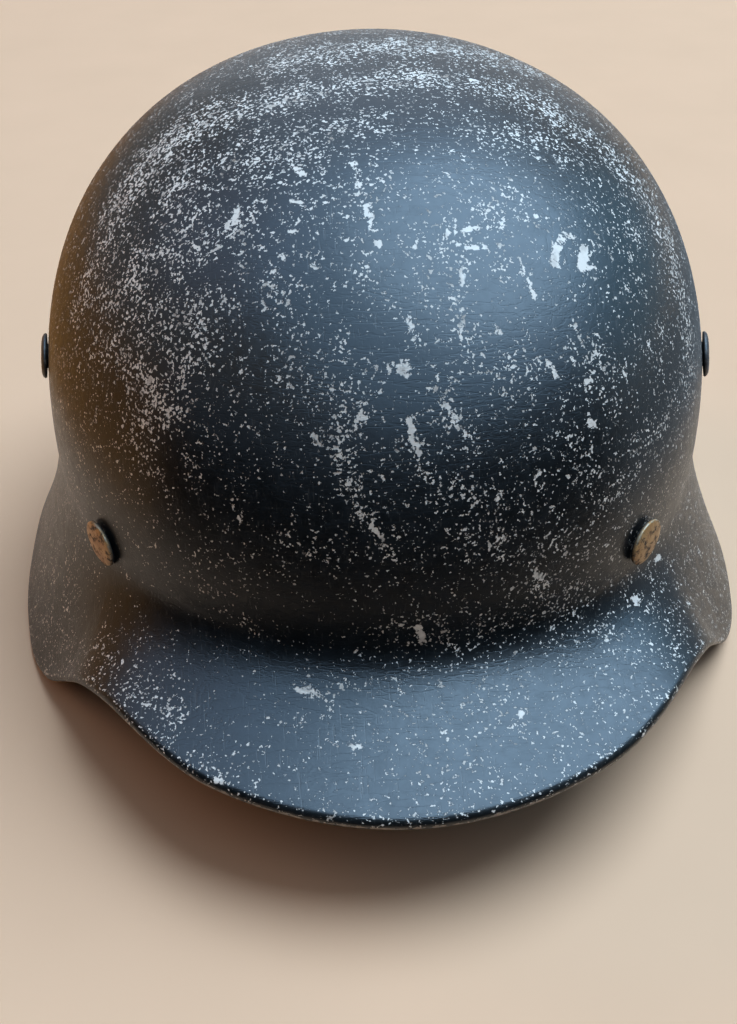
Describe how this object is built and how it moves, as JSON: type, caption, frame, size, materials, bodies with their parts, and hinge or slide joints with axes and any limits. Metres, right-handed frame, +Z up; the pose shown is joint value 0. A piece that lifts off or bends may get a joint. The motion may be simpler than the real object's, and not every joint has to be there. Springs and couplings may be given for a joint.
{
  "type": "stahlhelm",
  "caption": "Bare pressed steel helmet shell with a peak, ear flaps and a flared neck guard, a rolled rim, split rivets and vent bushes, in worn dark paint.",
  "frame": {"origin": "middle of the base of the helmet's box, on the surface that its rim rests on", "axes": "+Z up through the crown, -Y towards the peak, +X to the right as seen from the front"},
  "size_m": [0.2352, 0.2841, 0.162],
  "materials": {
    "shell_paint": "worn satin slate grey paint, chipped to pale specks",
    "rivet_brass": "dull ochre, stained",
    "vent_paint": "dark brown satin paint, worn at the edge"
  },
  "bodies": {
    "root": {"shell": "shell_paint", "rivet_left": "rivet_brass", "rivet_right": "rivet_brass", "rivet_rear": "rivet_brass", "vent_left": "vent_paint", "vent_right": "vent_paint"}
  },
  "joints": []
}
